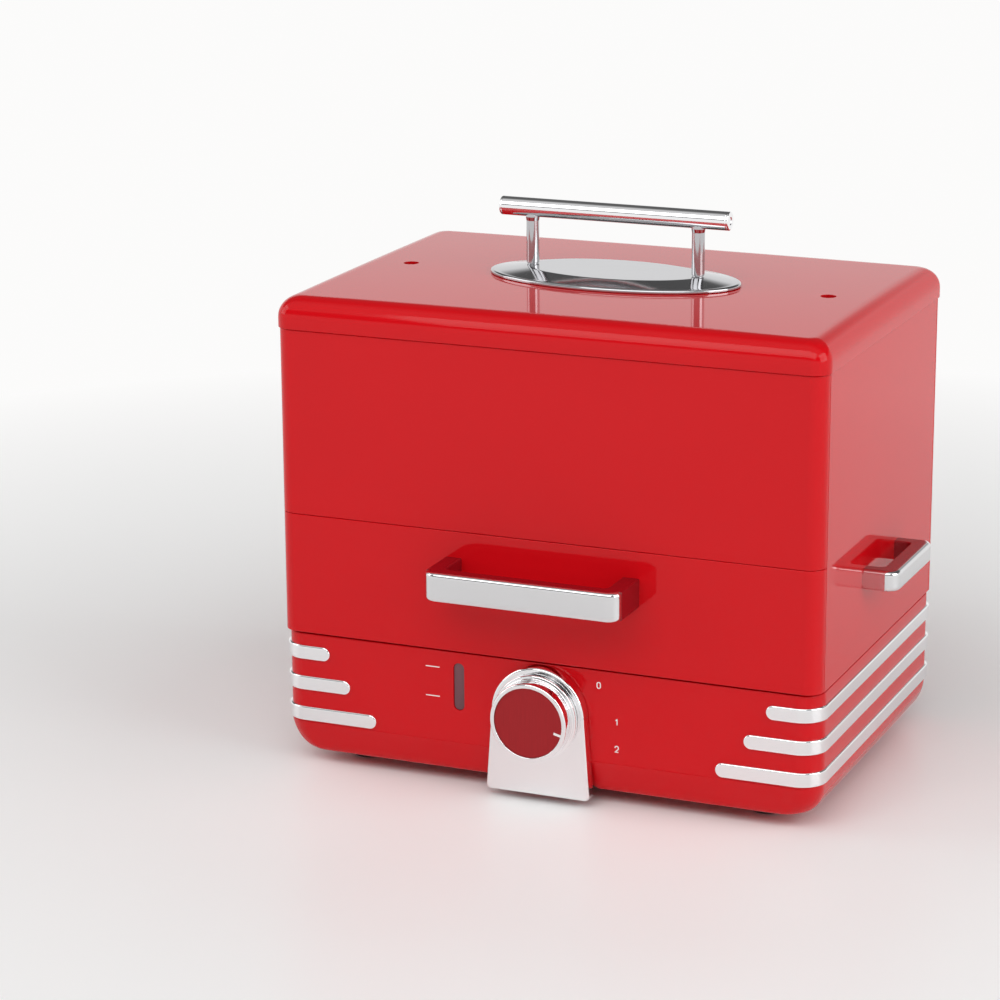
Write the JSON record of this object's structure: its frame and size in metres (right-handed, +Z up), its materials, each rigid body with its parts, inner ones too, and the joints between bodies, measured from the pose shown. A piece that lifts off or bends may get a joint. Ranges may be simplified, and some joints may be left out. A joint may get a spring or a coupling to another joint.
{
  "type": "hot dog steamer",
  "caption": "Counter-top food steamer: base with water well and dial, lift-off cabinet with side handles and a bun drawer, stacked trays, lift-off lid with a bar handle.",
  "frame": {"origin": "on the counter, under the middle of the outline", "axes": "+Z up, the drawer and dial face -Y, +X to the right seen from the front"},
  "size_m": [0.383, 0.27, 0.3375],
  "materials": {
    "gloss_red": "polished moulded red plastic",
    "handle_red": "polished dark red plastic",
    "satin_red": "fine satin red insert",
    "bright_trim": "bright plated",
    "gauge_smoke": "smoky clear plastic",
    "tray_aluminium": "satin drawn sheet",
    "zinc_steel": "bright zinc",
    "heater_sheath": "dark oxidised tube",
    "brass_nut": "turned",
    "black_rubber": "dull black rubber",
    "grey_paint": "dark grey painted sheet",
    "white_plastic": "plain moulding",
    "brown_moulding": "hard brown moulding",
    "lead_sleeve": "heat-proof sleeving",
    "white_paint": "printed white"
  },
  "bodies": {
    "base": {"base_housing": "gloss_red", "base_bottom_plate": "grey_paint", "base_screws": "zinc_steel", "feet": "gloss_red", "foot_pads": "black_rubber", "stripe_left_upper": "bright_trim", "stripe_left_middle": "bright_trim", "stripe_left_lower": "bright_trim", "stripe_right_upper": "bright_trim", "stripe_right_middle": "bright_trim", "stripe_right_lower": "bright_trim", "dial_plate": "bright_trim", "gauge_window": "gauge_smoke", "gauge_gasket": "black_rubber", "gauge_chamber": "white_plastic", "gauge_pipe": "white_plastic", "water_well": "tray_aluminium", "heating_element": "heater_sheath", "heater_seals": "black_rubber", "heater_nuts": "brass_nut", "thermostat_body": "white_plastic", "thermostat_bracket": "zinc_steel", "thermostat_nut": "brass_nut", "thermal_cutoff": "brown_moulding", "terminal_block": "white_plastic", "internal_leads": "lead_sleeve", "cord_gland": "black_rubber"},
    "knob": {"knob_body": "bright_trim", "knob_face": "satin_red", "knob_pointer": "white_paint", "thermostat_shaft": "zinc_steel"},
    "cabinet": {"cabinet_front_panel": "gloss_red", "cabinet_left_panel": "gloss_red", "cabinet_right_panel": "gloss_red", "cabinet_back_panel": "gloss_red", "chamber_shelf": "gloss_red", "cabinet_lower_frame": "gloss_red", "drawer_runner_left": "zinc_steel", "drawer_runner_right": "zinc_steel", "side_handle_left_grip": "handle_red", "side_handle_left_trim": "bright_trim", "side_handle_right_grip": "handle_red", "side_handle_right_trim": "bright_trim", "side_handle_screws": "zinc_steel"},
    "drawer": {"drawer_front": "gloss_red", "bun_tray": "tray_aluminium", "drawer_handle_grip": "handle_red", "drawer_handle_trim": "bright_trim", "drawer_screws": "zinc_steel"},
    "lower_tray": {"juice_tray": "tray_aluminium"},
    "upper_tray": {"hot_dog_tray": "tray_aluminium"},
    "lid": {"lid_cap": "gloss_red", "lid_handle_plate": "bright_trim", "lid_handle_post_left": "bright_trim", "lid_handle_post_right": "bright_trim", "lid_handle_bar": "bright_trim", "lid_handle_end_caps": "bright_trim", "lid_handle_nuts": "brass_nut"}
  },
  "joints": [
    {"name": "knob_turn", "type": "hinge", "parent": "base", "child": "knob", "pos_m": [0, -0.12195, 0.0545], "axis": [0, -1, 0], "range_deg": [-5, 45]},
    {"name": "cabinet_lift", "type": "slide", "parent": "base", "child": "cabinet", "axis": [0, 0, 1], "range_m": [0, 0.12]},
    {"name": "drawer_slide", "type": "slide", "parent": "cabinet", "child": "drawer", "axis": [0, -1, 0], "range_m": [0, 0.17]},
    {"name": "juice_tray_lift", "type": "slide", "parent": "cabinet", "child": "lower_tray", "axis": [0, 0, 1], "range_m": [0, 0.12]},
    {"name": "hot_dog_tray_lift", "type": "slide", "parent": "lower_tray", "child": "upper_tray", "axis": [0, 0, 1], "range_m": [0, 0.12]},
    {"name": "lid_lift", "type": "slide", "parent": "upper_tray", "child": "lid", "axis": [0, 0, 1], "range_m": [0, 0.12]}
  ]
}
